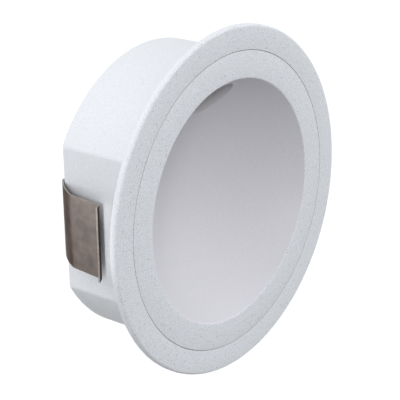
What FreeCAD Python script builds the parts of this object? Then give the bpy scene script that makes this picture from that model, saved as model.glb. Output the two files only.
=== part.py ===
import FreeCAD, Part
import math
import os

V = FreeCAD.Vector

# Recessed step light, in millimetres.
# Origin: centre of the flange's back face, where it meets the wall. +Y goes into the wall, +Z is up.

# Flange and drum of the housing
flange_diameter = 79.5
flange_thickness = 1.5
flange_front_round = 0.65
flange_back_round = 0.2
drum_diameter = 67.0
drum_depth = 23.2
drum_wall = 2.2
rear_wall = 2.0
rear_chamfer = 1.3
flat_distance = 29.3
flat_wall = 1.0
seam_edge = 0.15

# Bowl insert
insert_diameter = 68.1
seam_gap = 0.1
plate_thickness = 0.7
opening_diameter = 55.8
opening_round = 1.5
bowl_depth = 16.2
bowl_wall = 1.0
bowl_clearance = 0.6

# Gaskets
insert_gasket_thickness = 0.25
insert_gasket_width = 2.2
wall_gasket_diameter = 77.0
wall_gasket_width = 3.0
wall_gasket_thickness = 0.5
gasket_clearance = 0.25

# Light opening in the bowl's upper wall, and its sleeve
light_tilt = 46.0
light_bore = 11.4
sleeve_wall = 0.9
sleeve_length = 3.6
lens_ledge = 2.2
lens_diameter = 12.4
lens_thickness = 1.0
lens_seal_thickness = 0.4
lens_clearance = 0.1

# LED, its board and the block that carries them
emitter_size = 4.0
emitter_height = 0.7
emitter_round = 0.2
emitter_gap = 0.4
led_board_length = 21.0
led_board_below = 8.5
led_board_edge = 0.4
led_board_thickness = 1.0
led_board_screw_spacing = 17.0
thermal_pad_thickness = 0.4
heat_block_width = 22.0
block_clearance = 0.05
block_screw_spacing = 14.0
block_screw_height = 25.5

# Driver board and what is on it
driver_length = 39.0
driver_top = 4.0
driver_margin = 1.2
driver_clearance = 0.5
driver_thickness = 1.6
driver_corner = 2.0
standoff_height = 1.0
standoff_diameter = 5.0
driver_screw_edge = 3.0
driver_screw_z = -10.5
capacitor_diameter = 6.3
capacitor_height = 5.4
capacitor_round = 0.5
capacitor_x = 2.0
capacitor_row = -17.5
inductor_diameter = 8.0
inductor_waist = 5.0
inductor_height = 5.5
inductor_rim = 1.2
inductor_end = 7.0
inductor_row = -17.0
rectifier_size = (5.0, 2.2, 4.0)
rectifier_end = 5.5
rectifier_row = -5.0
ic_size = (5.0, 1.6, 4.0)
ic_end = 5.5
ic_row = -5.0
fuse_diameter = 2.4
fuse_length = 7.0
fuse_row = -9.5
terminal_size = (10.0, 6.0, 7.4)
terminal_end = 7.0
terminal_row = -18.0
terminal_pitch = 5.0
terminal_screw_diameter = 3.0
terminal_screw_length = 3.0
terminal_wire_bore = 2.4

# Wires between the two boards
wire_diameter = 1.1
wire_start_spacing = 26.0
wire_start_z = 2.0
wire_rise = 2.0
wire_bend_z = 10.0
wire_bend_back = 2.5
wire_end_spacing = 8.0
wire_end_below = 7.3
wire_end_run = 3.0
run_share = 0.45

# Screws: thread diameter, head diameter, head height, length under the head
insert_screw = (3.0, 5.6, 2.0, 9.0)
block_screw = (3.0, 5.6, 2.0, 7.0)
clip_screw = (3.0, 5.6, 2.0, 9.0)
board_screw = (2.0, 3.6, 0.9, 3.5)
driver_screw = (2.5, 4.4, 1.6, 4.0)
thread_clearance = 0.03
hole_clearance = 0.2
recess_share = 0.55
recess_width = 0.16
head_round = 0.45

# Posts and bosses that the screws go into
post_diameter = 5.2
post_circle = 54.0
post_angles = (50.0, 130.0, 270.0)
post_gap = 0.05
pilot_depth = 8.0
boss_diameter = 7.4
boss_height = 7.0

# Spring clips: a strip of steel fixed on the rear wall, bent round the drum's edge and forward past the flat.
# A turn of 0 goes outwards along the rear wall, and a turn of 90 goes straight to the front.
strip_thickness = 0.4
strip_height = 16.6
tab_inner = 19.6
clip_screw_x = 23.9
wrap_radius = 0.4
wrap_turn = 45.0
root_gap = 0.12
ramp_radius = 25.0
ramp_turn = 62.0
crease_radius = 4.0
leaf_turn = 83.0
leaf_front = 6.6
lip_radius = 0.6
lip_turn = 31.0
lip_length = 2.2

# Cable gland on the rear wall
gland_z = 12.0
gland_thread = 12.0
gland_hole_clearance = 0.1
gland_across_flats = 15.0
gland_flange_height = 3.0
gland_washer_thickness = 0.8
gland_washer_diameter = 15.0
locknut_across_flats = 14.0
locknut_thickness = 3.0
gland_bore = 9.0
gland_collar_height = 4.5
bush_diameter = 8.8
cable_bore = 6.2
bush_length = 7.0
cap_wall = 1.5
cap_end = 1.4
cap_gap = 0.3
cap_mouth = 8.0
cap_foot_diameter = 18.2

# Length below which two places count as one
tiny = 1e-6

# Values worked out from the sizes above
flange_radius = flange_diameter / 2
drum_radius = drum_diameter / 2
cavity_radius = drum_radius - drum_wall
cavity_half_width = flat_distance - flat_wall
front_y = -flange_thickness
rear_inside = drum_depth - rear_wall
ledge_y = front_y + plate_thickness + insert_gasket_thickness
plate_back = front_y + plate_thickness
insert_radius = insert_diameter / 2
seat_radius = insert_radius + seam_gap
opening_radius = opening_diameter / 2
bowl_radius = (opening_radius ** 2 + bowl_depth ** 2) / (2 * bowl_depth)
bowl_outside = bowl_radius + bowl_wall
bowl_centre = V(0, front_y + bowl_depth - bowl_radius, 0)
light_angle = math.radians(light_tilt)
light_axis = V(0, math.cos(light_angle), math.sin(light_angle))
light_up = V(0, -math.sin(light_angle), math.cos(light_angle))
light_centre = bowl_centre + light_axis * bowl_radius
sleeve_radius = lens_diameter / 2 + lens_clearance + sleeve_wall
emitter_face = sleeve_length + emitter_gap
board_face = emitter_face + emitter_height
pad_face = board_face + led_board_thickness
block_face = pad_face + thermal_pad_thickness
board_corner_z = math.sqrt((cavity_radius - led_board_edge) ** 2 - (led_board_length / 2) ** 2)
led_board_above = (board_corner_z - light_centre.z - light_axis.z * block_face) / light_up.z
driver_back = rear_inside - standoff_height
driver_face = driver_back - driver_thickness
driver_screw_spacing = driver_length - 2 * driver_screw_edge


def clear_radius(height):
    # Distance from the axis beyond which a part of this height on the driver board clears the bowl.
    top = driver_face - height - bowl_centre.y
    return math.sqrt(max((bowl_outside + driver_clearance) ** 2 - top ** 2, 0))


def round_place(x, row, radius, height):
    # In its row, or lower where the bowl needs the room.
    reach = clear_radius(height) + radius
    return x, min(row, -math.sqrt(max(reach ** 2 - x ** 2, 0)))


def square_place(x, row, size):
    width, height, depth = size
    near = max(abs(x) - width / 2, 0)
    return x, min(row, -math.sqrt(max(clear_radius(height) ** 2 - near ** 2, 0)) - depth / 2)


driver_end = driver_length / 2
capacitor_place = round_place(capacitor_x, capacitor_row, capacitor_diameter / 2, capacitor_height)
inductor_place = round_place(driver_end - inductor_end, inductor_row, inductor_diameter / 2, inductor_height)
fuse_place = square_place(0, fuse_row, (fuse_length, fuse_diameter, fuse_diameter))
terminal_place = square_place(terminal_end - driver_end, terminal_row, terminal_size)
rectifier_place = (rectifier_end - driver_end, rectifier_row)
ic_place = (driver_end - ic_end, ic_row)
driver_bottom = min(
    capacitor_place[1] - capacitor_diameter / 2,
    inductor_place[1] - inductor_diameter / 2,
    terminal_place[1] - terminal_size[2] / 2,
) - driver_margin


def cylinder(radius, start, direction, length):
    return Part.makeCylinder(radius, length, start, direction)


def along_y(radius, y0, y1, x=0.0, z=0.0):
    return cylinder(radius, V(x, y0, z), V(0, 1, 0), y1 - y0)


def ring(inner, outer, y0, y1, x=0.0, z=0.0):
    return along_y(outer, y0, y1, x, z).cut(along_y(inner, y0, y1, x, z))


def block(x0, x1, y0, y1, z0, z1):
    return Part.makeBox(x1 - x0, y1 - y0, z1 - z0, V(x0, y0, z0))


def turned(points):
    # A solid turned about the Y axis from a closed outline of (radius, y) points.
    corners = [V(r, y, 0) for r, y in points]
    outline = Part.makePolygon(corners + corners[:1])
    return Part.Face(outline).revolve(V(0, 0, 0), V(0, 1, 0), 360)


def hexagon(across_flats, y0, y1, x=0.0, z=0.0):
    reach = across_flats / math.sqrt(3)
    corners = []
    for side in range(7):
        angle = math.radians(60 * side)
        corners.append(V(x + reach * math.cos(angle), y0, z + reach * math.sin(angle)))
    return Part.Face(Part.makePolygon(corners)).extrude(V(0, y1 - y0, 0))


def light_point(distance, up=0.0, across=0.0):
    # A point measured out from the bowl's surface along the light's axis.
    return light_centre + light_axis * distance + light_up * up + V(across, 0, 0)


def light_disc(radius, near, far):
    return cylinder(radius, light_point(near), light_axis, far - near)


def light_slab(half_width, below, above, near, far):
    # A plate square to the light's axis, between two distances along it.
    corners = [
        light_point(near, -below, -half_width),
        light_point(near, -below, half_width),
        light_point(near, above, half_width),
        light_point(near, above, -half_width),
    ]
    return Part.Face(Part.makePolygon(corners + corners[:1])).extrude(light_axis * (far - near))


def mirrored(shape):
    return shape.mirror(V(0, 0, 0), V(1, 0, 0))


def pan_screw(sizes, seat, inward):
    # A pan head screw: its head's underside at the seat, its shank going inward.
    thread, head, height, length = sizes
    outward = inward * -1
    crown = seat + outward * height
    top = cylinder(head / 2, seat, outward, height)
    rim = [e for e in top.Edges if e.Closed and (e.CenterOfMass - seat).dot(outward) > height / 2]
    top = top.makeFillet(height * head_round, rim)
    side = inward.cross(V(1, 0, 0))
    reach = head * recess_share / 2
    half = head * recess_width / 2
    for slot in (side, inward.cross(side)):
        along = slot * reach
        across = inward.cross(slot) * half
        near = crown - across
        far = crown + across
        corners = [near - along, near + along, far + along, far - along]
        slot_face = Part.Face(Part.makePolygon(corners + corners[:1]))
        top = top.cut(slot_face.extrude(inward * (height * recess_share)))
    return top.fuse(cylinder(thread / 2, seat, inward, length)).removeSplitter()


def screw_hole(sizes, start, inward, length):
    return cylinder(sizes[0] / 2 + thread_clearance, start, inward, length)


def clearance_hole(sizes, start, inward, length):
    return cylinder(sizes[0] / 2 + hole_clearance, start, inward, length)


def insert_post_places():
    for angle in post_angles:
        turn = math.radians(angle)
        yield post_circle / 2 * math.cos(turn), post_circle / 2 * math.sin(turn)


def block_screw_places():
    for side in (-1, 1):
        yield side * block_screw_spacing / 2, block_screw_height


def driver_screw_places():
    for side in (-1, 1):
        yield side * driver_screw_spacing / 2, driver_screw_z


def make_housing():
    flange = turned([
        (0, front_y),
        (flange_radius, front_y),
        (flange_radius, 0),
        (0, 0),
    ])
    for edge_y, size in ((front_y, flange_front_round), (0, flange_back_round)):
        edges = [e for e in flange.Edges if e.Closed and abs(e.CenterOfMass.y - edge_y) < tiny]
        flange = flange.makeFillet(size, edges)
    drum = turned([
        (0, 0),
        (drum_radius, 0),
        (drum_radius, drum_depth - rear_chamfer),
        (drum_radius - rear_chamfer, drum_depth),
        (0, drum_depth),
    ])
    sides = [
        V(-flat_distance, 0, -drum_radius),
        V(-flat_distance, drum_depth - rear_chamfer, -drum_radius),
        V(-flat_distance + rear_chamfer, drum_depth, -drum_radius),
        V(flat_distance - rear_chamfer, drum_depth, -drum_radius),
        V(flat_distance, drum_depth - rear_chamfer, -drum_radius),
        V(flat_distance, 0, -drum_radius),
    ]
    slab = Part.Face(Part.makePolygon(sides + sides[:1])).extrude(V(0, 0, drum_diameter))
    body = flange.fuse(drum.common(slab))
    cavity = along_y(cavity_radius, ledge_y, rear_inside).common(
        block(-cavity_half_width, cavity_half_width, ledge_y, rear_inside, -drum_radius, drum_radius))
    mouth_reach = math.sqrt(bowl_outside ** 2 - (ledge_y - bowl_centre.y) ** 2) + bowl_clearance
    mouth = along_y(mouth_reach, ledge_y, 0)
    seat = turned([
        (0, front_y),
        (seat_radius + seam_edge, front_y),
        (seat_radius, front_y + seam_edge),
        (seat_radius, ledge_y),
        (0, ledge_y),
    ])
    body = body.cut(cavity).cut(mouth).cut(seat)
    groove_outer = wall_gasket_diameter / 2 + gasket_clearance
    groove_inner = wall_gasket_diameter / 2 - wall_gasket_width - gasket_clearance
    body = body.cut(ring(groove_inner, groove_outer, -wall_gasket_thickness, 0))
    for x, z in driver_screw_places():
        body = body.fuse(along_y(standoff_diameter / 2, driver_back, drum_depth, x, z))
    for side in (-1, 1):
        x = side * clip_screw_x
        body = body.fuse(along_y(boss_diameter / 2, rear_inside - boss_height, drum_depth, x))
        body = body.cut(screw_hole(clip_screw, V(x, drum_depth, 0), V(0, -1, 0), rear_wall + boss_height))
    for x, z in insert_post_places():
        body = body.cut(clearance_hole(insert_screw, V(x, drum_depth, z), V(0, -1, 0), rear_wall))
    for x, z in block_screw_places():
        body = body.cut(clearance_hole(block_screw, V(x, drum_depth, z), V(0, -1, 0), rear_wall))
    for x, z in driver_screw_places():
        body = body.cut(screw_hole(driver_screw, V(x, driver_back, z), V(0, 1, 0),
                                   driver_screw[3] - driver_thickness))
    body = body.cut(along_y(gland_thread / 2 + gland_hole_clearance, rear_inside, drum_depth, 0, gland_z))
    return body.removeSplitter()


def make_bowl_insert():
    plate = turned([
        (0, front_y),
        (insert_radius - seam_edge, front_y),
        (insert_radius, front_y + seam_edge),
        (insert_radius, plate_back),
        (0, plate_back),
    ])
    shell = Part.makeSphere(bowl_outside, bowl_centre)
    behind = block(-insert_radius, insert_radius, front_y, drum_depth, -insert_radius, insert_radius)
    insert = plate.fuse(shell.common(behind))
    for x, z in insert_post_places():
        insert = insert.fuse(along_y(post_diameter / 2, plate_back, rear_inside - post_gap, x, z))
    insert = insert.fuse(light_disc(sleeve_radius, 0, sleeve_length))
    insert = insert.cut(Part.makeSphere(bowl_radius, bowl_centre))
    mouth = [e for e in insert.Edges if e.Closed and abs(e.CenterOfMass.y - front_y) < tiny
             and e.Length < math.pi * (opening_radius + insert_radius)]
    insert = insert.makeFillet(opening_round, mouth)
    insert = insert.cut(light_disc(light_bore / 2, -light_bore / 2, sleeve_length))
    insert = insert.cut(light_disc(lens_diameter / 2 + lens_clearance, lens_ledge, sleeve_length))
    for x, z in insert_post_places():
        top = V(x, rear_inside - post_gap, z)
        insert = insert.cut(screw_hole(insert_screw, top, V(0, -1, 0), pilot_depth))
    return insert.removeSplitter()


def make_insert_gasket():
    outer = seat_radius - gasket_clearance
    return ring(outer - insert_gasket_width, outer, plate_back, ledge_y)


def make_wall_gasket():
    outer = wall_gasket_diameter / 2
    return ring(outer - wall_gasket_width, outer, -wall_gasket_thickness, 0)


def make_insert_screws():
    return [pan_screw(insert_screw, V(x, drum_depth, z), V(0, -1, 0)) for x, z in insert_post_places()]


def make_heat_block():
    half = heat_block_width / 2
    low = light_point(block_face, -led_board_below)
    high = light_point(block_face, led_board_above)
    back = rear_inside - block_clearance
    corners = [
        V(-half, low.y, low.z),
        V(-half, back, low.z),
        V(-half, back, cavity_radius),
        V(-half, high.y, cavity_radius),
        V(-half, high.y, high.z),
    ]
    wedge = Part.Face(Part.makePolygon(corners + corners[:1])).extrude(V(heat_block_width, 0, 0))
    wedge = wedge.common(along_y(cavity_radius - block_clearance, 0, back))
    for x, z in block_screw_places():
        wedge = wedge.cut(screw_hole(block_screw, V(x, back, z), V(0, -1, 0), block_screw[3]))
    for side in (-1, 1):
        start = light_point(block_face, 0, side * led_board_screw_spacing / 2)
        wedge = wedge.cut(screw_hole(board_screw, start, light_axis, board_screw[3]))
    return wedge


def make_heat_block_screws():
    return [pan_screw(block_screw, V(x, drum_depth, z), V(0, -1, 0)) for x, z in block_screw_places()]


def board_plate(near, far):
    # The LED board's outline, with its two screw holes, as a plate between two distances.
    plate = light_slab(led_board_length / 2, led_board_below, led_board_above, near, far)
    for side in (-1, 1):
        start = light_point(near, 0, side * led_board_screw_spacing / 2)
        plate = plate.cut(clearance_hole(board_screw, start, light_axis, far - near))
    return plate


def make_led_emitter():
    half = emitter_size / 2
    package = light_slab(half, half, half, emitter_face, board_face)
    front = light_point(emitter_face)
    face = [e for e in package.Edges if abs((e.CenterOfMass - front).dot(light_axis)) < tiny]
    return package.makeFillet(emitter_round, face)


def make_led_board_screws():
    seats = [light_point(board_face, 0, side * led_board_screw_spacing / 2) for side in (-1, 1)]
    return [pan_screw(board_screw, seat, light_axis) for seat in seats]


def make_led_lens():
    near = lens_ledge + lens_seal_thickness
    return light_disc(lens_diameter / 2, near, near + lens_thickness)


def make_lens_seal():
    return light_disc(lens_diameter / 2, lens_ledge, lens_ledge + lens_seal_thickness).cut(
        light_disc(light_bore / 2, lens_ledge, lens_ledge + lens_seal_thickness))


def make_driver_board():
    half = driver_length / 2
    plate = block(-half, half, driver_face, driver_back, driver_bottom, driver_top)
    corners = [e for e in plate.Edges if abs(e.Length - driver_thickness) < tiny]
    plate = plate.makeFillet(driver_corner, corners)
    plate = plate.common(along_y(cavity_radius - driver_clearance, driver_face, driver_back))
    for x, z in insert_post_places():
        plate = plate.cut(along_y(post_diameter / 2 + driver_clearance, driver_face, driver_back, x, z))
    for side in (-1, 1):
        plate = plate.cut(along_y(boss_diameter / 2 + driver_clearance, driver_face, driver_back,
                                  side * clip_screw_x))
    for x, z in driver_screw_places():
        plate = plate.cut(clearance_hole(driver_screw, V(x, driver_face, z), V(0, 1, 0), driver_thickness))
    return plate


def make_driver_board_screws():
    return [pan_screw(driver_screw, V(x, driver_face, z), V(0, 1, 0)) for x, z in driver_screw_places()]


def on_driver_board(size, place):
    # A square component with its foot on the driver board's front face.
    width, height, depth = size
    x, z = place
    top = driver_face - height
    return block(x - width / 2, x + width / 2, top, driver_face, z - depth / 2, z + depth / 2)


def make_driver_capacitor():
    x, z = capacitor_place
    top = driver_face - capacitor_height
    can = along_y(capacitor_diameter / 2, top, driver_face, x, z)
    return can.makeFillet(capacitor_round, [e for e in can.Edges if abs(e.CenterOfMass.y - top) < tiny])


def make_driver_inductor():
    x, z = inductor_place
    core = along_y(inductor_waist / 2, driver_face - inductor_height, driver_face, x, z)
    for y in (driver_face - inductor_height, driver_face - inductor_rim):
        core = core.fuse(along_y(inductor_diameter / 2, y, y + inductor_rim, x, z))
    return core.removeSplitter()


def make_fuse_resistor():
    x, z = fuse_place
    start = V(x - fuse_length / 2, driver_face - fuse_diameter / 2, z)
    return cylinder(fuse_diameter / 2, start, V(1, 0, 0), fuse_length)


def terminal_places():
    x, z = terminal_place
    for side in (-1, 1):
        yield x + side * terminal_pitch / 2, z


def make_terminal_block():
    width, height, depth = terminal_size
    body = on_driver_board(terminal_size, terminal_place)
    for x, z in terminal_places():
        top = V(x, driver_face - height, z)
        body = body.cut(cylinder(terminal_screw_diameter / 2 + thread_clearance, top, V(0, 1, 0),
                                 terminal_screw_length))
        low = V(x, driver_face - height / 2 + terminal_wire_bore / 2, z - depth / 2)
        body = body.cut(cylinder(terminal_wire_bore / 2, low, V(0, 0, 1), depth / 2))
    return body


def make_terminal_screws():
    top = driver_face - terminal_size[1]
    return [along_y(terminal_screw_diameter / 2, top, top + terminal_screw_length, x, z)
            for x, z in terminal_places()]


def bent_tube(points, radius):
    # A round wire along straight runs, with an arc at each corner as large as its runs allow.
    edges = []
    start = points[0]
    for before, corner, after in zip(points, points[1:], points[2:]):
        back = (before - corner).normalize()
        ahead = (after - corner).normalize()
        reach = run_share * min((before - corner).Length, (after - corner).Length)
        middle = (back + ahead).normalize()
        half_turn = back.getAngle(ahead) / 2
        centre = corner + middle * (reach / math.cos(half_turn))
        arc_radius = reach * math.tan(half_turn)
        first = corner + back * reach
        last = corner + ahead * reach
        edges.append(Part.makeLine(start, first))
        edges.append(Part.Arc(first, centre - middle * arc_radius, last).toShape())
        start = last
    edges.append(Part.makeLine(start, points[-1]))
    path = Part.Wire(edges)
    section = Part.Wire(Part.makeCircle(radius, points[0], points[1] - points[0]))
    tube = path.makePipeShell([section], True, False)
    straight_volume = math.pi * radius ** 2 * path.Length
    print("wire length", round(path.Length, 2), "volume share", round(tube.Volume / straight_volume, 4))
    return tube


def make_led_wire(side):
    x = side * wire_start_spacing / 2
    end_x = side * wire_end_spacing / 2
    points = [
        V(x, driver_face, wire_start_z),
        V(x, driver_face - wire_rise, wire_start_z),
        V(x, driver_face - wire_bend_back, wire_bend_z),
        light_point(board_face - wire_end_run, -wire_end_below, end_x),
        light_point(board_face, -wire_end_below, end_x),
    ]
    return bent_tube(points, wire_diameter / 2)


def heading(turn):
    # Direction of travel along the strip after it has turned from the rear wall towards the front.
    angle = math.radians(turn)
    return V(-math.cos(angle), -math.sin(angle), 0)


def side_of(turn):
    # Square to the direction of travel, towards the drum.
    angle = math.radians(turn)
    return V(math.sin(angle), -math.cos(angle), 0)


def arc_centre(place, turn, radius, new_turn):
    # On the drum's side where the turn grows, and on the far side where it lessens.
    return place + side_of(turn) * math.copysign(radius, new_turn - turn)


def arc_end(place, turn, radius, new_turn):
    centre = arc_centre(place, turn, radius, new_turn)
    return centre - side_of(new_turn) * math.copysign(radius, new_turn - turn)


def strip_piece(place, turn, moves):
    # A stretch of strip along its middle line: each move goes straight on, then along an arc to a new turn.
    half = strip_thickness / 2
    faces = {half: [], -half: []}
    ends = [Part.makeLine(place + side_of(turn) * half, place - side_of(turn) * half)]
    for length, radius, new_turn in moves:
        ahead = place + heading(turn) * length
        for offset, edges in faces.items():
            step = side_of(turn) * offset
            if length > tiny:
                edges.append(Part.makeLine(place + step, ahead + step))
            if new_turn != turn:
                centre = arc_centre(ahead, turn, radius, new_turn)
                reach = math.copysign(radius, new_turn - turn) - offset
                turns = (turn, (turn + new_turn) / 2, new_turn)
                edges.append(Part.Arc(*[centre - side_of(t) * reach for t in turns]).toShape())
        place = arc_end(ahead, turn, radius, new_turn)
        turn = new_turn
    ends.append(Part.makeLine(place + side_of(turn) * half, place - side_of(turn) * half))
    outline = Part.Wire(Part.__sortEdges__(faces[half] + faces[-half] + ends))
    piece = Part.Face(outline).extrude(V(0, 0, strip_height))
    piece.translate(V(0, 0, -strip_height / 2))
    return piece


# The strip's middle line: it bends at the rear wall's edge and springs from beside the flat's edge
strip_y = drum_depth + strip_thickness / 2
wall_edge = V(-(flat_distance - rear_chamfer), strip_y, 0)
flat_edge = V(-flat_distance, drum_depth - rear_chamfer, 0)
wrap_middle = wrap_radius + strip_thickness / 2
wrap_end = arc_end(wall_edge, 0, wrap_middle, wrap_turn)
wrap_run = (flat_edge - wrap_end).dot(heading(wrap_turn))
clip_root = wrap_end + heading(wrap_turn) * wrap_run
print("clip root", round(clip_root.x, 4), round(clip_root.y, 4))


def make_clip_tab():
    tab = strip_piece(V(-tab_inner, strip_y, 0), 0, [
        (-wall_edge.x - tab_inner, wrap_middle, wrap_turn),
        (wrap_run - root_gap, 0, wrap_turn),
    ])
    return tab.cut(clearance_hole(clip_screw, V(-clip_screw_x, drum_depth, 0), V(0, 1, 0), strip_thickness))


def make_clip_leaf():
    ramp_end = arc_end(clip_root, wrap_turn, ramp_radius, ramp_turn)
    crease_end = arc_end(ramp_end, ramp_turn, crease_radius, leaf_turn)
    run = (crease_end.y - leaf_front) / -heading(leaf_turn).y
    tangent = lip_radius * math.tan(math.radians(leaf_turn - lip_turn) / 2)
    return strip_piece(clip_root, wrap_turn, [
        (0, ramp_radius, ramp_turn),
        (0, crease_radius, leaf_turn),
        (run - tangent, lip_radius, lip_turn),
        (lip_length - tangent, 0, lip_turn),
    ])


def make_clip_screws():
    seat_y = drum_depth + strip_thickness
    return [pan_screw(clip_screw, V(side * clip_screw_x, seat_y, 0), V(0, -1, 0)) for side in (-1, 1)]


gland_foot = drum_depth + gland_washer_thickness
gland_collar = gland_foot + gland_flange_height
collar_top = gland_collar + gland_collar_height
locknut_front = rear_inside - locknut_thickness


def make_gland_body():
    body = along_y(gland_thread / 2, locknut_front, collar_top, 0, gland_z)
    body = body.fuse(hexagon(gland_across_flats, gland_foot, gland_collar, 0, gland_z))
    return body.cut(along_y(gland_bore / 2, locknut_front, collar_top, 0, gland_z)).removeSplitter()


def make_gland_locknut():
    nut = hexagon(locknut_across_flats, locknut_front, rear_inside, 0, gland_z)
    bore = gland_thread / 2 + gland_hole_clearance
    return nut.cut(along_y(bore, locknut_front, rear_inside, 0, gland_z))


def make_gland_washer():
    bore = gland_thread / 2 + gland_hole_clearance
    return ring(bore, gland_washer_diameter / 2, drum_depth, gland_foot, 0, gland_z)


def make_gland_bush():
    return ring(cable_bore / 2, bush_diameter / 2, collar_top - bush_length, collar_top, 0, gland_z)


def make_gland_cap():
    foot = gland_collar + cap_gap
    top = collar_top + cap_end
    bore = gland_thread / 2 + gland_hole_clearance
    cap = hexagon(2 * (bore + cap_wall), foot, top, 0, gland_z)
    dome = Part.makeCone(cap_foot_diameter / 2, bore, top - foot, V(0, foot, gland_z), V(0, 1, 0))
    cap = cap.common(dome)
    cap = cap.cut(along_y(bore, foot, collar_top, 0, gland_z))
    return cap.cut(along_y(cap_mouth / 2, foot, top, 0, gland_z)).removeSplitter()


left_tab = make_clip_tab()
left_leaf = make_clip_leaf()

nodes = {
    "housing": make_housing(),
    "bowl_insert": make_bowl_insert(),
    "insert_gasket": make_insert_gasket(),
    "insert_screws": make_insert_screws(),
    "wall_gasket": make_wall_gasket(),
    "heat_block": make_heat_block(),
    "heat_block_screws": make_heat_block_screws(),
    "thermal_pad": board_plate(pad_face, block_face),
    "led_board": board_plate(board_face, pad_face),
    "led_emitter": make_led_emitter(),
    "led_board_screws": make_led_board_screws(),
    "led_lens": make_led_lens(),
    "lens_seal": make_lens_seal(),
    "driver_board": make_driver_board(),
    "driver_board_screws": make_driver_board_screws(),
    "driver_capacitor": make_driver_capacitor(),
    "driver_inductor": make_driver_inductor(),
    "bridge_rectifier": on_driver_board(rectifier_size, rectifier_place),
    "driver_ic": on_driver_board(ic_size, ic_place),
    "fuse_resistor": make_fuse_resistor(),
    "terminal_block": make_terminal_block(),
    "terminal_screws": make_terminal_screws(),
    "led_wire_positive": make_led_wire(1),
    "led_wire_negative": make_led_wire(-1),
    "gland_body": make_gland_body(),
    "gland_locknut": make_gland_locknut(),
    "gland_washer": make_gland_washer(),
    "gland_bush": make_gland_bush(),
    "gland_cap": make_gland_cap(),
    "left_clip_tab": left_tab,
    "left_clip_leaf": left_leaf,
    "right_clip_tab": mirrored(left_tab),
    "right_clip_leaf": mirrored(left_leaf),
    "clip_screws": make_clip_screws(),
}

os.makedirs("parts", exist_ok=True)
for name, shape in nodes.items():
    if isinstance(shape, list):
        shape = Part.makeCompound(shape)
    solids = shape.Solids
    print(name, "solids:", len(solids), "volume:", round(shape.Volume, 2), "valid:", shape.isValid())
    if len(solids) == 1:
        shape = solids[0]
    shape.exportStep(f"parts/{name}.step")
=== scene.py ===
import bmesh
import bpy
import math
from mathutils import Matrix, Vector


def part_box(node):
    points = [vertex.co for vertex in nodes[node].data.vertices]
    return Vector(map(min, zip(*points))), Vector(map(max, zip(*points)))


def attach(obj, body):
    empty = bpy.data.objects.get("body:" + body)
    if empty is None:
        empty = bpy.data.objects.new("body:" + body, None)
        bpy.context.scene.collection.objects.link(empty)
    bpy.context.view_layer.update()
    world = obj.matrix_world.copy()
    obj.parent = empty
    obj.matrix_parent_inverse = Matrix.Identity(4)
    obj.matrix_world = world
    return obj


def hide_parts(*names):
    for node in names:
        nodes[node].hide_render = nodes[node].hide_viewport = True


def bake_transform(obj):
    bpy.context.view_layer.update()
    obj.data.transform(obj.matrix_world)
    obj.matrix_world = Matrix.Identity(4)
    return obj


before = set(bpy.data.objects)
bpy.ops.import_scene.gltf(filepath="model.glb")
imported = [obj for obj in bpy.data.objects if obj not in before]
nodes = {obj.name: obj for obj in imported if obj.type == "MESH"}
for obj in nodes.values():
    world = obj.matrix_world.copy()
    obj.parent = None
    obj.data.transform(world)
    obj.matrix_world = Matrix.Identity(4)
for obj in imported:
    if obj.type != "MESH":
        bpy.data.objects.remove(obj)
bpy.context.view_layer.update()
scene = bpy.context.scene
scene.view_settings.view_transform = "Standard"
mm = 0.001
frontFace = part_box("housing")[0].y / mm  # front of the flange
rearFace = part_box("housing")[1].y / mm  # rear wall of the drum
samePoint = 0.001  # mm, within which points count as one
print("frame loaded:", len(nodes), "CAD nodes")


# Materials

mixShare, mixFirst, mixSecond, mixResult = 0, 6, 7, 2  # sockets of a Mix node that mixes colours


def linearColour(hexText):
    # Undoes the sRGB curve, channel by channel
    channels = []
    for start in (1, 3, 5):
        value = int(hexText[start:start + 2], 16) / 255
        channels.append(value / 12.92 if value <= 0.04045 else ((value + 0.055) / 1.055) ** 2.4)
    return (*channels, 1.0)


def setInputs(tree, node, inputs):
    # A socket is linked, any other value is set
    for key, value in inputs.items():
        if isinstance(value, bpy.types.NodeSocket):
            tree.links.new(value, node.inputs[key])
        else:
            node.inputs[key].default_value = value


def addNode(tree, kind, inputs=None, **settings):
    node = tree.nodes.new(kind)
    for name, value in settings.items():
        setattr(node, name, value)
    setInputs(tree, node, inputs or {})
    return node


def startMaterial(name):
    material = bpy.data.materials.new(name)
    material.use_nodes = True
    tree = material.node_tree
    return material, tree, tree.nodes["Principled BSDF"]


# Polyester powder coat, sprayed and baked: matt white. The face has a fine sand grain with a few darker
# specks, the drum behind it is smoother, and the bowl is a smooth satin coat whose darker, warmer tone is
# partly its own and partly painted shade of the hollow bowl
coating = {
    "grain": 0.31,  # mm, drawn about as coarse as one pixel of the picture so that it shows
    "grainRange": (0.38, 0.68),  # of the noise, from the light colour to the dark one
    "grainFineness": 0.6,
    "speck": 0.95,  # mm between specks, of which a share shows
    "speckRange": (0.22, 0.10),  # from a speck's edge to its middle, as parts of that spacing
    "speckShare": (0.65, 0.75),  # of the cells' random values: none below the first, full above the second
    "cloud": 9.0,  # mm, size of the patches with more or less gloss
    "glossSpread": 0.06,
    "detail": 2.0,
    "specular": 0.4,
}
coats = {
    "sandPowderCoat": dict(light="#E9ECF1", dark="#D0D4DB", speck="#B2B6BD", bump=0.030, roughness=0.66),
    "smoothPowderCoat": dict(light="#E2E5EA", dark="#D8DBE1", speck="#D0D3D9", bump=0.010, roughness=0.58),
    # the bowl's coat: satin finish, with its colour drawn darker and warmer as painted shade inside the bowl
    "satinCoatWithPaintedShade": dict(light="#D5D5DB", dark="#CECED4", speck="#CECED4", bump=0.005, roughness=0.52),
}


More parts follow.
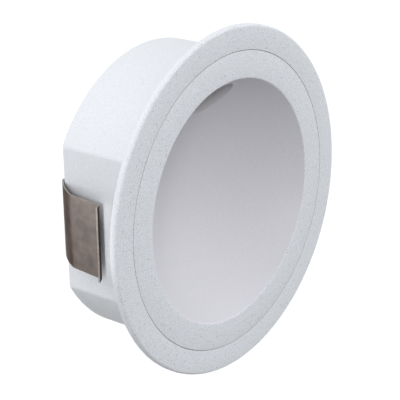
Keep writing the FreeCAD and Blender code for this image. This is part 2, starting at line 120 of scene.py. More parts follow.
def makePowderCoat(s, name, light, dark, speck, bump, roughness):
    material, tree, shader = startMaterial(name)
    place = addNode(tree, "ShaderNodeTexCoord").outputs["Object"]
    grain = addNode(tree, "ShaderNodeTexNoise",
                    {"Vector": place, "Scale": 1 / (s["grain"] * mm), "Detail": s["detail"],
                     "Roughness": s["grainFineness"]})
    cells = addNode(tree, "ShaderNodeTexVoronoi", {"Vector": place, "Scale": 1 / (s["speck"] * mm)})
    cloud = addNode(tree, "ShaderNodeTexNoise",
                    {"Vector": place, "Scale": 1 / (s["cloud"] * mm), "Detail": s["detail"]})
    share = addNode(tree, "ShaderNodeMapRange",
                    {"Value": grain.outputs["Fac"], "From Min": s["grainRange"][0],
                     "From Max": s["grainRange"][1]})
    colour = addNode(tree, "ShaderNodeMix",
                     {mixShare: share.outputs[0], mixFirst: linearColour(light),
                      mixSecond: linearColour(dark)}, data_type="RGBA")
    dot = addNode(tree, "ShaderNodeMapRange",
                  {"Value": cells.outputs["Distance"], "From Min": s["speckRange"][0],
                   "From Max": s["speckRange"][1]})
    pick = addNode(tree, "ShaderNodeSeparateColor", {0: cells.outputs["Color"]})
    few = addNode(tree, "ShaderNodeMapRange",
                  {"Value": pick.outputs[0], "From Min": s["speckShare"][0], "From Max": s["speckShare"][1]})
    specks = addNode(tree, "ShaderNodeMath", {0: dot.outputs[0], 1: few.outputs[0]}, operation="MULTIPLY")
    colour = addNode(tree, "ShaderNodeMix",
                     {mixShare: specks.outputs[0], mixFirst: colour.outputs[mixResult],
                      mixSecond: linearColour(speck)}, data_type="RGBA")
    rough = addNode(tree, "ShaderNodeMapRange",
                    {"Value": cloud.outputs["Fac"], "To Min": roughness - s["glossSpread"],
                     "To Max": roughness + s["glossSpread"]})
    height = addNode(tree, "ShaderNodeMath", {0: grain.outputs["Fac"], 1: cells.outputs["Distance"]},
                     operation="ADD")
    relief = addNode(tree, "ShaderNodeBump",
                     {"Height": height.outputs[0], "Distance": bump * mm, "Strength": 1.0})
    setInputs(tree, shader, {
        "Base Color": colour.outputs[mixResult],
        "Roughness": rough.outputs[0],
        "Normal": relief.outputs[0],
        "Specular IOR Level": s["specular"],
    })
    return material


# Bare rolled spring steel: warm grey, satin, faintly mottled, with fine rolling lines along the strip,
# and with painted shade in its reflections where it is seen along its surface
steelStrip = {
    "light": "#8C827D",
    "dark": "#736C68",
    # painted shade: a dark tint on the reflections seen along the strip's surface
    "grazingShade": "#858180",
    "mottle": 2.6,  # mm
    "mottleRange": (0.3, 0.7),
    "mottleDetail": 4.0,
    "mottleFineness": 0.6,
    "line": 0.30,  # mm between rolling lines
    "lineLength": 9.0,  # mm
    "lineDepth": 0.003,  # mm
    "lineDetail": 3.0,
    "roughness": 0.33,
    "glossSpread": 0.05,
}


def makeSpringSteel(s):
    material, tree, shader = startMaterial("rolledSpringSteel")
    place = addNode(tree, "ShaderNodeTexCoord").outputs["Object"]
    stretch = 1 / (s["lineLength"] * mm)
    along = addNode(tree, "ShaderNodeMapping",
                    {"Vector": place, "Scale": (stretch, stretch, 1 / (s["line"] * mm))})
    lines = addNode(tree, "ShaderNodeTexNoise",
                    {"Vector": along.outputs[0], "Scale": 1.0, "Detail": s["lineDetail"]})
    mottle = addNode(tree, "ShaderNodeTexNoise",
                     {"Vector": place, "Scale": 1 / (s["mottle"] * mm), "Detail": s["mottleDetail"],
                      "Roughness": s["mottleFineness"]})
    share = addNode(tree, "ShaderNodeMapRange",
                    {"Value": mottle.outputs["Fac"], "From Min": s["mottleRange"][0],
                     "From Max": s["mottleRange"][1]})
    colour = addNode(tree, "ShaderNodeMix",
                     {mixShare: share.outputs[0], mixFirst: linearColour(s["dark"]),
                      mixSecond: linearColour(s["light"])}, data_type="RGBA")
    rough = addNode(tree, "ShaderNodeMapRange",
                    {"Value": lines.outputs["Fac"], "To Min": s["roughness"] - s["glossSpread"],
                     "To Max": s["roughness"] + s["glossSpread"]})
    relief = addNode(tree, "ShaderNodeBump",
                     {"Height": lines.outputs["Fac"], "Distance": s["lineDepth"] * mm, "Strength": 1.0})
    setInputs(tree, shader, {
        "Base Color": colour.outputs[mixResult],
        # the tint paints shade into the strip's grazing reflections
        "Specular Tint": linearColour(s["grazingShade"]),
        "Metallic": 1.0,
        "Roughness": rough.outputs[0],
        "Normal": relief.outputs[0],
    })
    return material


# Finishes of the smaller pieces: two colours mixed by a grain, and what the shader is told
finishGrain = {"detail": 3.0, "fineness": 0.55, "glossSpread": 0.08}
finishes = {
    # zinc-plated steel: cool, bright, slightly cloudy
    "screw_steel": dict(name="zincPlatedSteel", light="#C9CCCF", dark="#A3A7AB", grain=0.6, bump=0.006,
                        shader={"Metallic": 1.0, "Roughness": 0.30}),
    # sheared edge of spring steel: freshly cut, bright, with small tears
    "sheared_edge": dict(name="shearedSteel", light="#B0ABA5", dark="#6C6762", grain=0.7, bump=0.01,
                         shader={"Metallic": 1.0, "Roughness": 0.42}),
    # painted shade: a grey, darker than the face, drawn in the light bore for the shade deep in it
    "bore_coat": dict(name="paintedBoreShade", light="#C8C6CA", dark="#C0BEC2", grain=0.3, bump=0.005,
                      shader={"Roughness": 0.7}),
    # painted shade: a grey drawn on the seam's walls for the shade in the narrow groove
    "seam_coat": dict(name="paintedSeamShade", light="#C8C9CD", dark="#BBBCC0", grain=0.3, bump=0.005,
                      shader={"Roughness": 0.7}),
    # cast silicone: milky and soft
    "silicone": dict(name="castSilicone", light="#D6D6D2", dark="#C4C4C0", grain=0.8, bump=0.01,
                     shader={"Roughness": 0.55, "Subsurface Weight": 0.1}),
    # closed-cell foam rubber: black, matt, with small pores
    "foam_rubber": dict(name="foamRubber", light="#2E2E2F", dark="#171718", grain=0.35, bump=0.12,
                        shader={"Roughness": 0.9, "Specular IOR Level": 0.2}),
    # milled aluminium: pale grey with cutter marks
    "bare_aluminium": dict(name="milledAluminium", light="#CDD0D3", dark="#AEB2B6", grain=0.3, bump=0.01,
                           shader={"Metallic": 1.0, "Roughness": 0.36}),
    # filled silicone sheet: dull grey-blue
    "thermal_silicone": dict(name="filledSilicone", light="#98A2B4", dark="#828C9E", grain=0.4, bump=0.02,
                             shader={"Roughness": 0.8}),
    # white solder mask: even, half gloss
    "white_board": dict(name="whiteSolderMask", light="#EEEEEA", dark="#E2E2DD", grain=1.2, bump=0.004,
                        shader={"Roughness": 0.38}),
    # phosphor in silicone: warm yellow, powdery
    "led_phosphor": dict(name="phosphorSilicone", light="#F0CF52", dark="#DDB63A", grain=0.2, bump=0.01,
                         shader={"Roughness": 0.5}),
    # glass epoxy under green solder mask: half gloss, with the weave showing through
    "circuit_board": dict(name="greenSolderMask", light="#1F6B3E", dark="#17552F", grain=0.7, bump=0.006,
                          shader={"Roughness": 0.35}),
    # drawn aluminium can: bright, faintly streaked
    "capacitor_can": dict(name="drawnAluminium", light="#C2C4C6", dark="#A9ABAE", grain=0.3, bump=0.004,
                          shader={"Metallic": 1.0, "Roughness": 0.28}),
    # pressed ferrite: dark grey, grainy
    "ferrite": dict(name="pressedFerrite", light="#46464A", dark="#333336", grain=0.2, bump=0.02,
                    shader={"Roughness": 0.6}),
    # moulded epoxy: black, fine spark-eroded texture
    "black_epoxy": dict(name="mouldedEpoxy", light="#2A2A2B", dark="#1E1E1F", grain=0.15, bump=0.008,
                        shader={"Roughness": 0.55}),
    # lacquered ceramic: grey-green, glossy
    "fuse_lacquer": dict(name="lacquer", light="#7FA390", dark="#6C9180", grain=0.9, bump=0.01,
                         shader={"Roughness": 0.25, "Coat Weight": 0.4}),
    # moulded polyamide: green, half matt
    "terminal_plastic": dict(name="greenPolyamide", light="#2F7A55", dark="#276848", grain=0.2, bump=0.006,
                             shader={"Roughness": 0.48}),
    # silicone insulation: soft sheen
    "red_wire": dict(name="redInsulation", light="#C02A25", dark="#A8211D", grain=0.5, bump=0.005,
                     shader={"Roughness": 0.5}),
    "black_wire": dict(name="blackInsulation", light="#242425", dark="#18181A", grain=0.5, bump=0.005,
                       shader={"Roughness": 0.5}),
    # moulded polyamide: light grey, half matt with a fine mould texture
    "gland_nylon": dict(name="greyPolyamide", light="#D3D5D6", dark="#C6C8CA", grain=0.18, bump=0.012,
                        shader={"Roughness": 0.5}),
    # moulded rubber: black, matt, faintly dusty
    "gland_rubber": dict(name="mouldedRubber", light="#303031", dark="#1D1D1E", grain=0.6, bump=0.012,
                         shader={"Roughness": 0.75, "Specular IOR Level": 0.3}),
    # frosted acrylic: white, lets light through, without a clear image
    "frosted_acrylic": dict(name="frostedAcrylic", light="#F2F2EE", dark="#E6E6E2", grain=0.15, bump=0.01,
                            shader={"Roughness": 0.6, "IOR": 1.49, "Transmission Weight": 0.35}),
}


def makeFinish(s, name, light, dark, grain, bump, shader):
    material, tree, bsdf = startMaterial(name)
    place = addNode(tree, "ShaderNodeTexCoord").outputs["Object"]
    speckle = addNode(tree, "ShaderNodeTexNoise",
                      {"Vector": place, "Scale": 1 / (grain * mm), "Detail": s["detail"],
                       "Roughness": s["fineness"]})
    colour = addNode(tree, "ShaderNodeMix",
                     {mixShare: speckle.outputs["Fac"], mixFirst: linearColour(dark),
                      mixSecond: linearColour(light)}, data_type="RGBA")
    rough = addNode(tree, "ShaderNodeMapRange",
                    {"Value": speckle.outputs["Fac"], "To Min": shader["Roughness"] - s["glossSpread"],
                     "To Max": shader["Roughness"] + s["glossSpread"]})
    relief = addNode(tree, "ShaderNodeBump",
                     {"Height": speckle.outputs["Fac"], "Distance": bump * mm, "Strength": 1.0})
    setInputs(tree, bsdf, {
        **shader,
        "Base Color": colour.outputs[mixResult],
        "Roughness": rough.outputs[0],
        "Normal": relief.outputs[0],
    })
    return material


sandCoat, smoothCoat, satinShadedCoat = [makePowderCoat(coating, name, **look) for name, look in coats.items()]
springSteel = makeSpringSteel(steelStrip)
materials = {slotName: makeFinish(finishGrain, **look) for slotName, look in finishes.items()}
print("materials made:", len(coats) + 1 + len(materials))


# Modelling helpers

loopReach = 0.002  # mm, within which an edge lies at a level
sharpFrom = 35.0  # degrees between two faces, from which their edge shows


def roundedPath(corners, turnSteps=6):
    # Corners as (across, along, round size); each round becomes an arc
    path = []
    for index, (across, along, roundSize) in enumerate(corners):
        here = Vector((across, along))
        if roundSize == 0:
            path.append(here)
            continue
        back = (Vector(corners[index - 1][:2]) - here).normalized()
        ahead = (Vector(corners[index + 1][:2]) - here).normalized()
        halfTurn = back.angle(ahead) / 2
        middle = here + (back + ahead).normalized() * (roundSize / math.sin(halfTurn))
        first = (here + back * (roundSize / math.tan(halfTurn)) - middle).normalized()
        last = (here + ahead * (roundSize / math.tan(halfTurn)) - middle).normalized()
        path += [middle + first.slerp(last, step / turnSteps) * roundSize for step in range(turnSteps + 1)]
    return path


def spinPath(bm, path, steps):
    # Turns an outline of (radius, along) in millimetres about the Y axis
    verts = [bm.verts.new((across * mm, along * mm, 0)) for across, along in path]
    edges = [bm.edges.new(pair) for pair in zip(verts, verts[1:])]
    bmesh.ops.spin(bm, geom=verts + edges, cent=(0, 0, 0), axis=(0, 1, 0), angle=2 * math.pi,
                   steps=steps, use_merge=True)


def closeMesh(bm):
    bmesh.ops.remove_doubles(bm, verts=bm.verts, dist=samePoint * mm)
    bmesh.ops.recalc_face_normals(bm, faces=bm.faces)


def softenEdges(bm, edges, size, segments):
    bmesh.ops.bevel(bm, geom=edges, offset=size * mm, offset_type="OFFSET", segments=segments,
                    profile=0.5, affect="EDGES", clamp_overlap=True, material=-1)


def onlyVerts(geometry):
    return [g for g in geometry if isinstance(g, bmesh.types.BMVert)]


def onlyEdges(geometry):
    return [g for g in geometry if isinstance(g, bmesh.types.BMEdge)]


def wholeMesh(bm):
    return bm.verts[:] + bm.edges[:] + bm.faces[:]


def loopAt(bm, level):
    # Open edges that lie at one level along the Y axis
    return [e for e in bm.edges if e.is_boundary
            and all(abs(v.co.y - level * mm) < loopReach * mm for v in e.verts)]


def addPiece(bm, name, *finishedIn):
    mesh = bpy.data.meshes.new(name)
    bm.to_mesh(mesh)
    bm.free()
    for face in mesh.polygons:
        face.use_smooth = True
    mesh.set_sharp_from_angle(angle=math.radians(sharpFrom))
    for material in finishedIn:
        mesh.materials.append(material)
    piece = bpy.data.objects.new(name, mesh)
    scene.collection.objects.link(piece)
    print("made", name, len(mesh.polygons), "faces")
    return piece


def dress(piece, slotName, *stoodFor):
    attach(piece, "root")
    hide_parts(*stoodFor)


# Housing: the flange, the drum with its two flats and the closed rear, as one hollow casting

housing = {
    "flangeRadius": 39.75,
    "frontRound": 0.65,
    "backRound": 0.2,
    "drumRadius": 33.5,
    "flatDistance": 29.3,
    "flatRound": 0.2,
    "flatRoundSteps": 3,
    "footRound": 0.5,
    "rearChamfer": 1.3,
    "chamferRound": 0.4,
    "seatRadius": 34.15,
    "seamRound": 0.06,
    "ledge": 0.95,  # below the front face
    "cavityRadius": 31.3,
    "cavityHalfWidth": 28.3,
    "cavityRound": 1.0,
    "cavityEdge": 1.1,  # from the cavity's wall inwards, what its flats press in
    "rearWall": 2.0,
    "grooveInner": 35.25,
    "grooveOuter": 38.75,
    "grooveDepth": 0.5,
    "smoothFrom": -1.0,  # level behind the face where the smoother coat begins
    "cornerAngle": 12.0,  # degrees between faces, from which an edge is a flat's corner
    "cornerAlong": 0.3,  # least share of such an edge that goes along the drum
    "cornerAside": 0.75,  # most of it that goes sideways
    "steps": 360,
}


def makeHousing(s):
    drum = s["drumRadius"]
    cavity = s["cavityRadius"]
    inside = rearFace - s["rearWall"]
    ledge = frontFace + s["ledge"]
    path = roundedPath([
        (0, rearFace, 0),
        (drum - s["rearChamfer"], rearFace, s["chamferRound"]),
        (drum, rearFace - s["rearChamfer"], s["chamferRound"]),
        (drum, 0, s["footRound"]),
        (s["grooveInner"], 0, 0),
        (s["grooveInner"], -s["grooveDepth"], 0),
        (s["grooveOuter"], -s["grooveDepth"], 0),
        (s["grooveOuter"], 0, 0),
        (s["flangeRadius"], 0, s["backRound"]),
        (s["flangeRadius"], frontFace, s["frontRound"]),
        (s["seatRadius"], frontFace, s["seamRound"]),
        (s["seatRadius"], ledge, 0),
        (cavity, ledge, 0),
        (cavity, inside, s["cavityRound"]),
        (0, inside, 0),
    ])
    bm = bmesh.new()
    spinPath(bm, path, s["steps"])
    closeMesh(bm)

    # Flats: what stands out past them is pressed onto them, on the outer and the inner wall
    between = (cavity + drum - s["rearChamfer"]) / 2
    drumFoot = drum + s["footRound"] + samePoint
    for vert in bm.verts:
        radius = math.hypot(vert.co.x, vert.co.z) / mm
        limit = radius
        if radius > between:
            if vert.co.y / mm > -samePoint and radius < drumFoot:
                limit = radius - (drum - s["flatDistance"])
        elif radius > cavity - s["cavityEdge"]:
            limit = radius - (cavity - s["cavityHalfWidth"])
        vert.co.x = max(-limit * mm, min(limit * mm, vert.co.x))
    corners = []
    for edge in bm.edges:
        run = edge.verts[1].co - edge.verts[0].co
        outer = min(math.hypot(v.co.x, v.co.z) for v in edge.verts) > s["flatDistance"] * mm
        along = abs(run.y) > s["cornerAlong"] * run.length and abs(run.x) < s["cornerAside"] * run.length
        bent = edge.calc_face_angle(0) > math.radians(s["cornerAngle"])
        if outer and along and bent and edge.verts[0].co.y > -samePoint * mm:
            corners.append(edge)
    softenEdges(bm, corners, s["flatRound"], s["flatRoundSteps"])
    bmesh.ops.recalc_face_normals(bm, faces=bm.faces)

    # Sand grain on the face, a smooth coat behind it, painted shade in the seam
    sand, smooth, seamShade = range(3)
    seamRadius = s["seatRadius"] + s["seamRound"] / 2
    for face in bm.faces:
        middle = face.calc_center_median() / mm
        # the seam's faces get a grey that paints in the shade of the groove
        inSeam = middle.y < ledge and math.hypot(middle.x, middle.z) < seamRadius
        face.material_index = seamShade if inSeam else smooth if middle.y > s["smoothFrom"] else sand
    piece = addPiece(bm, "housing_shell", sandCoat, smoothCoat, materials["seam_coat"])
    dress(piece, "powder_coat", "housing")


makeHousing(housing)


# Bowl insert: the inner band of the face, the bowl and the LED's sleeve

bowl = {
    "bandRadius": 34.05,
    "bandRound": 0.06,
    "bandRoundSteps": 3,
    "bandThickness": 0.7,
    "bandStart": 1.0,  # from the lip outwards to the band's first ring
    "openingRadius": 27.9,
    "openingRound": 0.45,
    "lipSteps": 8,
    # the lip's smooth steps take the bowl's coat with its painted shade, which also tones down the lip's
    # highlight
    "lipSmooth": 2,  # steps of the lip, next to the bowl, that have the bowl's smooth coat
    "depth": 16.2,
    "wall": 1.0,
    "backMargin": 0.4,  # from the bowl's back to the band's last ring
    "lightTilt": 46.0,  # degrees above the bowl's axis
    "boreRadius": 5.7,
    "boreRound": 0.12,
    "boreRoundSteps": 4,
    "lensSeat": 6.3,
    "lensLedge": 2.2,
    "sleeveRadius": 7.2,
    "sleeveLength": 3.6,
    "steps": 144,
    "arcStep": 1.5,  # degrees
    "farMargin": 4.0,  # degrees that are turned past the opening, to be cut off
    "cutReach": 0.0005,  # mm, within which the cut takes points as on it
    "mouthMerge": 0.3,  # mm, within which points along the cut mouth are merged
}


def arcAbout(radius, fromDegrees, toDegrees, stepDegrees):
    # Points on a circle about the origin, counted from the along axis
    count = max(2, round(abs(toDegrees - fromDegrees) / stepDegrees))
    turns = [math.radians(fromDegrees + (toDegrees - fromDegrees) * i / count) for i in range(count + 1)]
    return [Vector((radius * math.sin(turn), radius * math.cos(turn))) for turn in turns]


def cutFront(bm, geometry, level, reach):
    # Cuts off what lies in front of a level, and gives back the open loop there
    bmesh.ops.bisect_plane(bm, geom=geometry, dist=reach * mm, plane_co=(0, level * mm, 0),
                           plane_no=(0, 1, 0), clear_inner=True)
    return loopAt(bm, level)


def drawOut(bm, ring, last, points):
    # Draws a round edge loop out through points of (radius, along), and gives back the last loop
    for point in points:
        drawn = bmesh.ops.extrude_edge_only(bm, edges=ring)["geom"]
        moved = onlyVerts(drawn)
        bmesh.ops.scale(bm, vec=(point.x / last.x, 1, point.x / last.x), verts=moved)
        bmesh.ops.translate(bm, vec=(0, (point.y - last.y) * mm, 0), verts=moved)
        ring = onlyEdges(drawn)
        last = point
    return ring


def makeBowl(s):
    sphere = (s["openingRadius"] ** 2 + s["depth"] ** 2) / (2 * s["depth"])
    outside = sphere + s["wall"]
    centreY = frontFace + s["depth"] - sphere
    bandBack = frontFace + s["bandThickness"]
    turnUp = Matrix.Rotation(math.radians(s["lightTilt"]), 4, "X")
    stand = Matrix.Translation((0, centreY * mm, 0)) @ turnUp
    farTurn = s["lightTilt"] + math.degrees(math.asin(s["openingRadius"] / sphere)) + s["farMargin"]
    bm = bmesh.new()

    # Behind: the bowl's back and the sleeve, turned about the light's axis, then cut at the band's back
    sleeveTurn = math.degrees(math.asin(s["sleeveRadius"] / outside))
    sleeveEnd = sphere + s["sleeveLength"]
    lensLedge = sphere + s["lensLedge"]
    roundX = s["boreRadius"] + s["boreRound"]
    roundCentre = Vector((roundX, math.sqrt((sphere + s["boreRound"]) ** 2 - roundX ** 2)))
    behind = arcAbout(outside, farTurn, sleeveTurn, s["arcStep"])
    behind += [
        Vector((s["sleeveRadius"], sleeveEnd)),
        Vector((s["lensSeat"], sleeveEnd)),
        Vector((s["lensSeat"], lensLedge)),
        Vector((s["boreRadius"], lensLedge)),
        Vector((s["boreRadius"], roundCentre.y)),
    ]
    spinPath(bm, behind, s["steps"])
    bmesh.ops.transform(bm, matrix=stand, verts=bm.verts)
    backLoop = cutFront(bm, wholeMesh(bm), bandBack, s["cutReach"])

    # In front: the bore's rounded edge and the bowl, cut where the opening's round begins
    rise = frontFace + s["openingRound"] - centreY
    reach = sphere + s["openingRound"]
    mouthCentre = Vector((math.sqrt(reach ** 2 - rise ** 2), centreY + rise))
    mouthStart = Vector((mouthCentre.x * sphere / reach, centreY + rise * sphere / reach))
    toBore = Vector((-1, 0))
    toSphere = -roundCentre.normalized()
    boreEdge = [roundCentre + toBore.slerp(toSphere, i / s["boreRoundSteps"]) * s["boreRound"]
                for i in range(s["boreRoundSteps"] + 1)]
    startTurn = math.degrees(math.atan2(boreEdge[-1].x, boreEdge[-1].y))
    inFront = boreEdge[:-1] + arcAbout(sphere, startTurn, farTurn, s["arcStep"])
    oldGeometry = set(wholeMesh(bm))
    spinPath(bm, inFront, s["steps"])
    bmesh.ops.transform(bm, matrix=stand, verts=[v for v in bm.verts if v not in oldGeometry])
    newGeometry = [g for g in wholeMesh(bm) if g not in oldGeometry]
    ring = cutFront(bm, newGeometry, mouthStart.y, s["cutReach"])
    ringVerts = list({v for e in ring for v in e.verts})
    bmesh.ops.remove_doubles(bm, verts=ringVerts, dist=s["mouthMerge"] * mm)
    ring = loopAt(bm, mouthStart.y)

    # The lip and the band: the bowl's edge drawn out round by round to the seam and back behind
    toFace = Vector((0, -1))
    toMouth = (mouthStart - mouthCentre).normalized()
    lip = [mouthCentre + toMouth.slerp(toFace, i / s["lipSteps"]) * s["openingRound"]
           for i in range(1, s["lipSteps"] + 1)]
    ring = drawOut(bm, ring, mouthStart, lip[:s["lipSmooth"]])
    smoothFaces = set(bm.faces)
    ring = drawOut(bm, ring, lip[s["lipSmooth"] - 1], lip[s["lipSmooth"]:])
    backRadius = math.sqrt(outside ** 2 - (bandBack - centreY) ** 2) + s["backMargin"]
    band = roundedPath([
        (mouthCentre.x + s["bandStart"], frontFace, 0),
        (s["bandRadius"], frontFace, s["bandRound"]),
        (s["bandRadius"], bandBack, 0),
        (backRadius, bandBack, 0),
    ], turnSteps=s["bandRoundSteps"])
    ring = drawOut(bm, ring, lip[-1], band)
    bmesh.ops.bridge_loops(bm, edges=ring + [e for e in backLoop if e.is_valid])

    # Sand grain on the band, satin in the bowl, painted shade in the seam and painted shade in the bore
    sand, satinShaded, seamShade, boreShade = range(4)
    seamRadius = s["bandRadius"] - s["bandRound"] / 2
    boreReach = s["boreRadius"] + s["boreRound"] / 2
    standBack = stand.inverted()
    for face in bm.faces:
        middle = face.calc_center_median()
        beside = standBack @ middle / mm
        face.material_index = satinShaded if face in smoothFaces else sand
        # the seam's faces get a grey that paints in the shade of the groove
        if math.hypot(middle.x, middle.z) / mm > seamRadius:
            face.material_index = seamShade
        # faces in the bore get a grey that paints in the shade inside it
        if beside.y > 0 and math.hypot(beside.x, beside.z) < boreReach:
            face.material_index = boreShade
    closeMesh(bm)
    piece = addPiece(bm, "bowl_and_band", sandCoat, satinShadedCoat, materials["seam_coat"], materials["bore_coat"])
    dress(piece, "powder_coat", "bowl_insert")


makeBowl(bowl)


# Spring clips: one strip each, from the tab under its screw round the drum's edge and forward past the flat

clip = {
    "thickness": 0.4,
    "height": 16.6,
    "edgeRound": 0.05,
    "edgeRoundSteps": 2,
    "tabEnd": 19.6,  # from the middle plane
    "wallEdge": 28.0,  # where the rear wall ends and the strip bends
    "flatEdge": (29.3, 21.9),  # where the flat begins and the leaf springs
    "wrapRadius": 0.6,  # of the strip's middle line, as are the others
    "wrapTurn": 45.0,  # degrees from the rear wall
    "rampRadius": 25.0,
    "rampTurn": 62.0,
    "creaseRadius": 4.0,
    "leafTurn": 83.0,
    "leafFront": 6.6,
    "lipRadius": 0.6,
    "lipTurn": 31.0,
    "lipLength": 2.2,
    "bendLength": 1.0,  # of strip, before and after the spring line, that bends with the leaf
    "steps": 6,  # along each straight and each bend, apart from the next two
    "rampSteps": 12,
    "lipSteps": 2,
    "sharpAngle": 60.0,  # degrees between faces, from which an edge is softened
    "edgeFacing": 0.5,  # how far a face looks up or down, from which it is a sheared edge
}


def heading(turn):
    # Along the strip: 0 goes outwards on the rear wall, 90 goes to the front
    return Vector((-math.cos(math.radians(turn)), -math.sin(math.radians(turn))))


def sideOf(turn):
    # Square to the strip, towards the drum
    return Vector((math.sin(math.radians(turn)), -math.cos(math.radians(turn))))


def bendPath(start, turnFrom, turnTo, radius, steps):
    reach = math.copysign(radius, turnTo - turnFrom)
    centre = start + sideOf(turnFrom) * reach
    turns = [turnFrom + (turnTo - turnFrom) * i / steps for i in range(1, steps + 1)]
    return [centre - sideOf(turn) * reach for turn in turns]


def straightPath(start, turn, length, steps):
    return [start + heading(turn) * (length * i / steps) for i in range(1, steps + 1)]


def clipPath(s):
    # The strip's middle line, and the point on it where the leaf springs
    steps = s["steps"]
    path = [Vector((-s["tabEnd"], rearFace + s["thickness"] / 2))]
    path += straightPath(path[-1], 0, s["wallEdge"] - s["tabEnd"], steps)
    path += bendPath(path[-1], 0, s["wrapTurn"], s["wrapRadius"], steps)
    edge = Vector((-s["flatEdge"][0], s["flatEdge"][1]))
    toRoot = (edge - path[-1]).dot(heading(s["wrapTurn"]))
    path += straightPath(path[-1], s["wrapTurn"], toRoot, steps)
    root = path[-1]
    path += bendPath(root, s["wrapTurn"], s["rampTurn"], s["rampRadius"], s["rampSteps"])
    path += bendPath(path[-1], s["rampTurn"], s["leafTurn"], s["creaseRadius"], steps)
    corner = s["lipRadius"] * math.tan(math.radians(s["leafTurn"] - s["lipTurn"]) / 2)
    run = (path[-1].y - s["leafFront"]) / -heading(s["leafTurn"]).y
    path += straightPath(path[-1], s["leafTurn"], run - corner, steps)
    path += bendPath(path[-1], s["leafTurn"], s["lipTurn"], s["lipRadius"], steps)
    path += straightPath(path[-1], s["lipTurn"], s["lipLength"] - corner, s["lipSteps"])
    return path, root


def makeClip(s, name, side, tab, leaf):
    path, root = clipPath(s)
    bm = bmesh.new()
    half = s["thickness"] / 2
    ahead = path[1:] + path[-1:]
    before = path[:1] + path[:-1]
    turns = [(after - earlier).normalized() for after, earlier in zip(ahead, before)]
    inner = [p + Vector((-t.y, t.x)) * half for p, t in zip(path, turns)]
    outer = [p - Vector((-t.y, t.x)) * half for p, t in zip(path, turns)]
    low = -s["height"] / 2 * mm
    rows = [[bm.verts.new((p.x * mm, p.y * mm, low)) for p in line] for line in (inner, outer)]
    for row in rows:
        for pair in zip(row, row[1:]):
            bm.edges.new(pair)
    bmesh.ops.bridge_loops(bm, edges=bm.edges[:])
    drawn = bmesh.ops.extrude_face_region(bm, geom=bm.faces[:])["geom"]
    bmesh.ops.translate(bm, vec=(0, 0, s["height"] * mm), verts=onlyVerts(drawn))
    closeMesh(bm)
    rolled, sheared = range(2)
    ends = {row[i] for row in rows for i in (0, -1)}
    for face in bm.faces:  # the sheared edges and ends are brighter than the rolled faces
        isCut = abs(face.normal.z) > s["edgeFacing"] or sum(v in ends for v in face.verts) == 2
        face.material_index = sheared if isCut else rolled
    sharp = [e for e in bm.edges if e.calc_face_angle(0) > math.radians(s["sharpAngle"])]
    softenEdges(bm, sharp, s["edgeRound"], s["edgeRoundSteps"])
    if side > 0:
        bmesh.ops.scale(bm, vec=(-1, 1, 1), verts=bm.verts)
        bmesh.ops.reverse_faces(bm, faces=bm.faces)
    piece = addPiece(bm, name, springSteel, materials["sheared_edge"])
    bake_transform(piece)
    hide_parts(tab, leaf)


makeClip(clip, "left_clip_strip", -1, "left_clip_tab", "left_clip_leaf")
makeClip(clip, "right_clip_strip", 1, "right_clip_tab", "right_clip_leaf")


# Screws: pan heads with a cross recess

screw = {
    "shank": 1.5,
    "longLength": 9.0,
    "shortLength": 7.0,
    "tipRound": 0.3,
    "head": 2.8,
    "height": 2.0,
    "crown": 0.9,
    "crownFlat": 0.1,  # from the crown's round inwards to the ring that the recess is cut in
    "armLength": 1.45,
    "armWidth": 0.42,
    "recess": 1.1,
    "taper": 0.72,  # how far the recess narrows towards its floor
    "turn": 37.0,  # degrees from one screw to the next, as driven by hand
    "postCircle": 27.0,  # the insert's posts, round the middle
    "postTurns": (50.0, 130.0, 270.0),  # degrees
    "blockAside": 7.0,  # the heat block's screws
    "blockUp": 25.5,
    "tabAside": 23.9,  # the clips' screws
    "steps": 48,
}


def makeScrewSet(s, name, node, length, places):
    bm = bmesh.new()
    spinPath(bm, roundedPath([
        (0, -length, 0),
        (s["shank"], -length, s["tipRound"]),
        (s["shank"], 0, 0),
        (s["head"], 0, 0),
        (s["head"], s["height"], s["crown"]),
        (s["head"] - s["crown"] - s["crownFlat"], s["height"], 0),
    ]), s["steps"])
    closeMesh(bm)
    rim = loopAt(bm, s["height"])
    long, wide = s["armLength"], s["armWidth"]
    quarter = [(long, -wide), (long, wide), (wide, wide)]
    outline = [Matrix.Rotation(math.pi / 2 * k, 2) @ Vector(p) for k in range(4) for p in quarter]
    cross = [bm.verts.new((p.x * mm, s["height"] * mm, p.y * mm)) for p in outline]
    edges = [bm.edges.new(pair) for pair in zip(cross, cross[1:] + cross[:1])]
    bmesh.ops.triangle_fill(bm, use_beauty=True, edges=rim + edges, normal=(0, 1, 0))
    drawn = bmesh.ops.extrude_edge_only(bm, edges=edges)["geom"]
    recessFloor = onlyVerts(drawn)
    bmesh.ops.scale(bm, vec=(s["taper"], 1, s["taper"]), verts=recessFloor)
    bmesh.ops.translate(bm, vec=(0, -s["recess"] * mm, 0), verts=recessFloor)
    bmesh.ops.contextual_create(bm, geom=onlyEdges(drawn))
    bmesh.ops.recalc_face_normals(bm, faces=bm.faces)
    single = wholeMesh(bm)
    for index, place in enumerate(places):
        own = onlyVerts(bmesh.ops.duplicate(bm, geom=single)["geom"])
        turned = Matrix.Rotation(math.radians(s["turn"] * index), 3, "Y")
        bmesh.ops.rotate(bm, cent=(0, 0, 0), matrix=turned, verts=own)
        bmesh.ops.translate(bm, vec=Vector(place) * mm, verts=own)
    bmesh.ops.delete(bm, geom=onlyVerts(single), context="VERTS")
    piece = addPiece(bm, name, materials["screw_steel"])
    dress(piece, "screw_steel", node)


